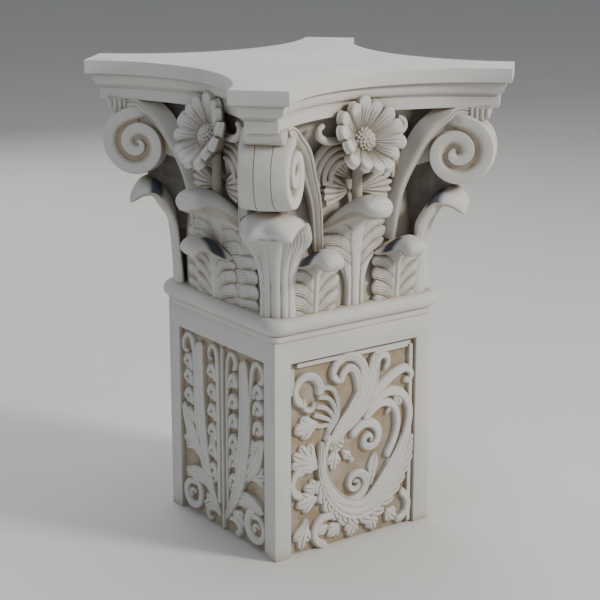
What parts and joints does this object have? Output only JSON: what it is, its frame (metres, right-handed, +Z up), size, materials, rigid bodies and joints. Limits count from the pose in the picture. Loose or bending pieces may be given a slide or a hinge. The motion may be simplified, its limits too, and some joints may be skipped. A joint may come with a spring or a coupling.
{
  "type": "corinthian capital on a panelled pier",
  "caption": "Square pier with carved foliage panels under a Corinthian capital with acanthus leaves, corner volutes, flowers and a hollow-sided abacus.",
  "frame": {"origin": "centre of the pier's underside, on the surface it stands on", "axes": "+Z up to the abacus; -Y faces the front, the side with the scrolling foliage panel; +X to the right seen from the front"},
  "size_m": [0.522, 0.522, 0.738],
  "materials": {
    "pier_stone": "matt pale stone, with tan dust in the ground of the panels",
    "capital_stone": "matt pale stone, with tan dust and dark stains in the hollows"
  },
  "bodies": {
    "root": {"pier_shaft": "pier_stone", "capital": "capital_stone"}
  },
  "joints": []
}
